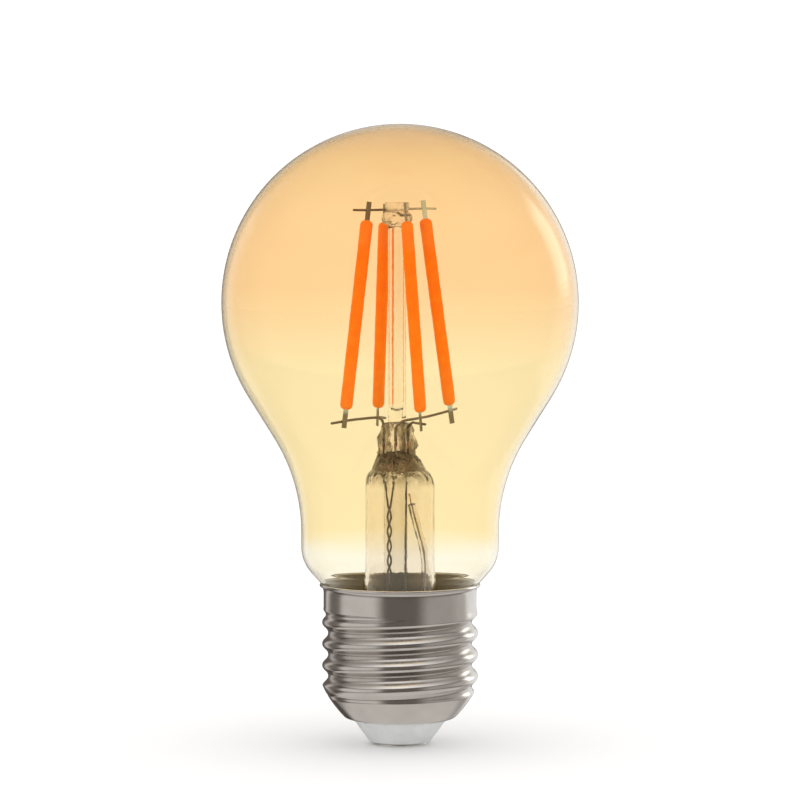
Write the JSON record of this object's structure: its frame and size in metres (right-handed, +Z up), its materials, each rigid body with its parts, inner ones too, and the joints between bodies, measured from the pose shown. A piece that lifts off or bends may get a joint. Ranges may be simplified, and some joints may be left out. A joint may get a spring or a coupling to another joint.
{
  "type": "smart filament light bulb",
  "caption": "Amber glass A60 smart lamp with slanted LED filaments on a glass stem and a radio driver board inside an E27 screw cap.",
  "frame": {"origin": "middle of the centre contact's outer face, at the bottom of the screw cap", "axes": "+Z up along the lamp's axis to the crown of the glass; -Y is the front, with two filaments nearer; +X is to the right of the front view"},
  "size_m": [0.0598, 0.0598, 0.1041],
  "materials": {
    "amber_glass": "clear blown glass with a see-through amber coat that stops above the neck",
    "stem_glass": "clear lead-free stem glass, fire polished",
    "phosphor": "orange phosphor in silicone, satin",
    "filament_strip": "pale translucent ceramic",
    "led_chips": "polished light chips with gold bond wires",
    "tab_steel": "thin plated strip",
    "nickel_wire": "drawn nickel wire, darkened by heat",
    "seal_wire": "red borated copper-clad wire",
    "enamel_wire": "dark enamel on thin copper wire",
    "antenna_copper": "lacquered copper wire",
    "pale_sleeve": "thin milky sleeving",
    "cement": "cured capping cement",
    "nickel_plate": "bright nickel plate on rolled sheet",
    "insulator": "pale grey moulded insulator, satin",
    "contact_brass": "pressed brass, lightly worn",
    "resistor_body": "lacquered resistor body",
    "shrink_sleeve": "heat-shrink sleeving",
    "board_laminate": "green solder mask over glass laminate",
    "module_laminate": "dark green solder mask",
    "chip_black": "moulded black epoxy",
    "capacitor_skin": "dark shrink skin over a can",
    "bung_rubber": "black rubber",
    "ferrite": "ground ferrite",
    "winding_copper": "enamelled copper winding",
    "crystal_can": "plated can"
  },
  "bodies": {
    "root": {"glass_envelope": "amber_glass", "stem_tube": "stem_glass", "exhaust_tube": "stem_glass", "support_pillar": "stem_glass", "pillar_bead": "stem_glass", "filament_front_left_phosphor": "phosphor", "filament_front_left_substrate": "filament_strip", "filament_front_left_chips": "led_chips", "filament_front_left_foot_tab": "tab_steel", "filament_front_left_head_tab": "tab_steel", "filament_back_left_phosphor": "phosphor", "filament_back_left_substrate": "filament_strip", "filament_back_left_chips": "led_chips", "filament_back_left_foot_tab": "tab_steel", "filament_back_left_head_tab": "tab_steel", "filament_front_right_phosphor": "phosphor", "filament_front_right_substrate": "filament_strip", "filament_front_right_chips": "led_chips", "filament_front_right_foot_tab": "tab_steel", "filament_front_right_head_tab": "tab_steel", "filament_back_right_phosphor": "phosphor", "filament_back_right_substrate": "filament_strip", "filament_back_right_chips": "led_chips", "filament_back_right_foot_tab": "tab_steel", "filament_back_right_head_tab": "tab_steel", "support_wire_outer": "nickel_wire", "support_wire_inner": "nickel_wire", "lead_wire_front_left": "nickel_wire", "lead_wire_back_left": "nickel_wire", "lead_wire_front_right": "nickel_wire", "lead_wire_back_right": "nickel_wire", "seal_wire_left": "seal_wire", "seal_wire_centre": "seal_wire", "seal_wire_right": "seal_wire", "outer_lead_left": "enamel_wire", "outer_lead_centre": "enamel_wire", "outer_lead_right": "enamel_wire", "antenna_wire": "antenna_copper", "antenna_sleeve": "pale_sleeve", "cap_cement": "cement", "cap_shell": "nickel_plate", "cap_insulator": "insulator", "centre_contact": "contact_brass", "centre_contact_lead": "nickel_wire", "side_contact_lead": "nickel_wire", "fusible_resistor": "resistor_body", "resistor_sleeve": "shrink_sleeve", "driver_board": "board_laminate", "bridge_rectifier": "chip_black", "driver_chip": "chip_black", "smoothing_capacitor": "capacitor_skin", "capacitor_bung": "bung_rubber", "inductor_core": "ferrite", "inductor_winding": "winding_copper", "module_board": "module_laminate", "wireless_chip": "chip_black", "module_crystal": "crystal_can"}
  },
  "joints": []
}
